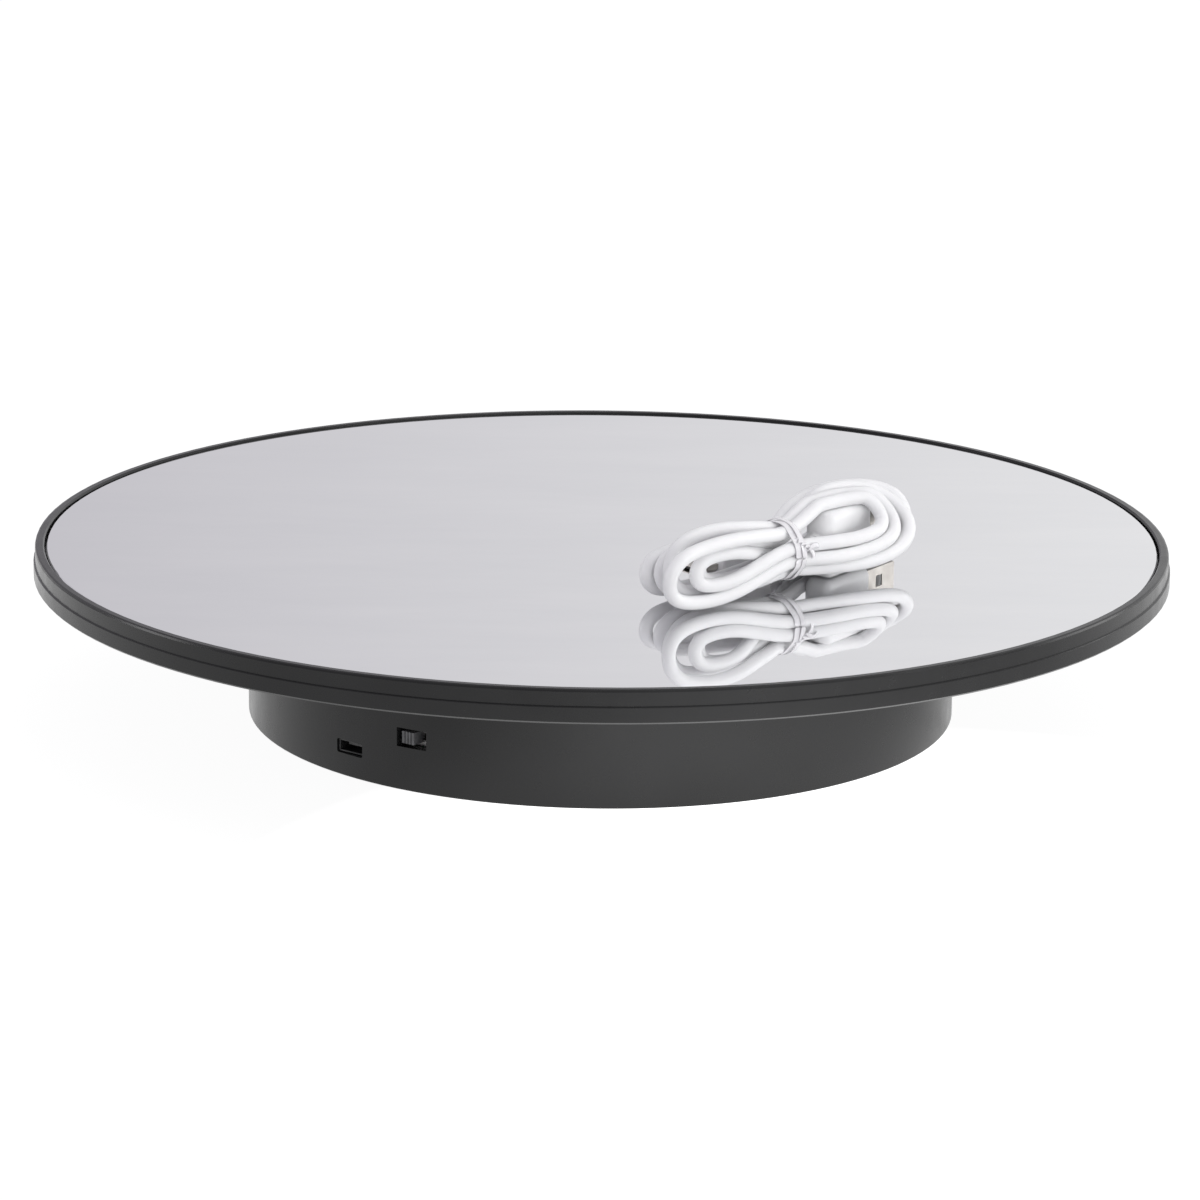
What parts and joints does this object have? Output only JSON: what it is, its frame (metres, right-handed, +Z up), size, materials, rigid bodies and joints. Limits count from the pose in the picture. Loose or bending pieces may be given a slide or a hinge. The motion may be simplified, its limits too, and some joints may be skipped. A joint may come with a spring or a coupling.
{
  "type": "turntable display stand",
  "caption": "Round motorised turntable display stand with a mirror top, a geared drive and rollers inside its base, and a tied white power lead lying on the mirror.",
  "frame": {"origin": "on the surface the stand rests on, on the axis the platter turns about", "axes": "+Z up along the turning axis; -Y to the front, with the switch and power socket at the front left"},
  "size_m": [0.25, 0.25, 0.0588],
  "materials": {
    "black_plastic": "polished black moulding",
    "black_plastic_lower": "fine textured black moulding",
    "mirror_glass": "silvered glass",
    "foam_pad": "white double-sided foam",
    "steel": "bright steel",
    "black_screw": "blackened steel",
    "gear_plastic": "natural acetal",
    "brass": "turned brass",
    "motor_steel": "drawn and plated steel",
    "motor_cap": "white moulding",
    "rubber": "soft black rubber",
    "roller_plastic": "white acetal",
    "board": "green solder mask",
    "switch_grey": "grey moulding",
    "wire_insulation": "red and black vinyl",
    "spring_steel": "nickel plated",
    "lead_white": "white vinyl",
    "plug_metal": "nickel plated sheet",
    "tie_plastic": "translucent white film"
  },
  "bodies": {
    "base": {"spindle_bush": "brass", "motor_can": "motor_steel", "motor_end_cap": "motor_cap", "motor_screws": "steel", "gear_axles": "steel", "gear_plate": "black_plastic_lower", "gear_plate_screws": "steel", "base_shell": "black_plastic", "bottom_cover": "black_plastic_lower", "cover_screws": "black_screw", "battery_contacts": "spring_steel", "battery_springs": "spring_steel", "roller_pins": "steel", "circuit_board": "board", "usb_socket": "plug_metal", "switch_body": "motor_steel", "motor_wires": "wire_insulation", "battery_wires": "wire_insulation", "foot_1": "rubber", "foot_2": "rubber", "foot_3": "rubber", "foot_4": "rubber"},
    "platter": {"platter": "black_plastic", "mirror": "mirror_glass", "adhesive_pad": "foam_pad", "platter_screw": "steel", "spindle_shaft": "steel", "spindle_gear": "gear_plastic", "cord_hank": "lead_white", "hank_tie": "tie_plastic", "usb_a_plug_body": "lead_white", "usb_a_plug_shell": "plug_metal", "usb_a_plug_tongue": "lead_white", "micro_plug_body": "lead_white", "micro_plug_shell": "plug_metal", "micro_plug_tongue": "black_plastic_lower"},
    "gear_1": {"compound_gear_1": "gear_plastic"},
    "gear_2": {"compound_gear_2": "gear_plastic"},
    "gear_3": {"compound_gear_3": "gear_plastic"},
    "rotor": {"motor_shaft": "steel", "motor_pinion": "brass"},
    "switch": {"switch_knob": "switch_grey"},
    "door": {"battery_door": "black_plastic_lower"},
    "roller_1": {"roller_1": "roller_plastic"},
    "roller_2": {"roller_2": "roller_plastic"},
    "roller_3": {"roller_3": "roller_plastic"},
    "roller_4": {"roller_4": "roller_plastic"}
  },
  "joints": [
    {"name": "platter_spin", "type": "hinge", "parent": "base", "child": "platter", "pos_m": [0, 0, 0.03], "axis": [0, 0, 1], "continuous": true},
    {"name": "gear_3_spin", "type": "hinge", "parent": "base", "child": "gear_3", "pos_m": [0.0144, -0.02494, 0.02], "axis": [0, 0, 1], "continuous": true},
    {"name": "gear_2_spin", "type": "hinge", "parent": "base", "child": "gear_2", "pos_m": [0.03567, -0.02869, 0.02], "axis": [0, 0, 1], "continuous": true},
    {"name": "gear_1_spin", "type": "hinge", "parent": "base", "child": "gear_1", "pos_m": [0.02952, -0.04561, 0.02], "axis": [0, 0, 1], "continuous": true},
    {"name": "rotor_spin", "type": "hinge", "parent": "base", "child": "rotor", "pos_m": [0.01696, -0.05286, 0.02], "axis": [0, 0, 1], "continuous": true},
    {"name": "roller_1_spin", "type": "hinge", "parent": "base", "child": "roller_1", "pos_m": [0.062, 0, 0.0288], "axis": [1, 0, 0], "continuous": true},
    {"name": "roller_2_spin", "type": "hinge", "parent": "base", "child": "roller_2", "pos_m": [0, 0.062, 0.0288], "axis": [0, 1, 0], "continuous": true},
    {"name": "roller_3_spin", "type": "hinge", "parent": "base", "child": "roller_3", "pos_m": [-0.062, 0, 0.0288], "axis": [-1, 0, 0], "continuous": true},
    {"name": "roller_4_spin", "type": "hinge", "parent": "base", "child": "roller_4", "pos_m": [0, -0.062, 0.0288], "axis": [0, -1, 0], "continuous": true},
    {"name": "switch_slide", "type": "slide", "parent": "base", "child": "switch", "axis": [0.8028, -0.5962, 0], "range_m": [0, 0.002]},
    {"name": "battery_door_swing", "type": "hinge", "parent": "base", "child": "door", "pos_m": [0, 0.01525, 0.0013], "axis": [-1, 0, 0], "range_deg": [0, 95]}
  ],
  "couplings": [
    {"joint": "gear_3_spin", "follows": "platter_spin", "ratio": -5},
    {"joint": "gear_2_spin", "follows": "platter_spin", "ratio": 25},
    {"joint": "gear_1_spin", "follows": "platter_spin", "ratio": -125},
    {"joint": "rotor_spin", "follows": "platter_spin", "ratio": 600},
    {"joint": "roller_1_spin", "follows": "platter_spin", "ratio": -13.778},
    {"joint": "roller_2_spin", "follows": "platter_spin", "ratio": -13.778},
    {"joint": "roller_3_spin", "follows": "platter_spin", "ratio": -13.778},
    {"joint": "roller_4_spin", "follows": "platter_spin", "ratio": -13.778}
  ]
}
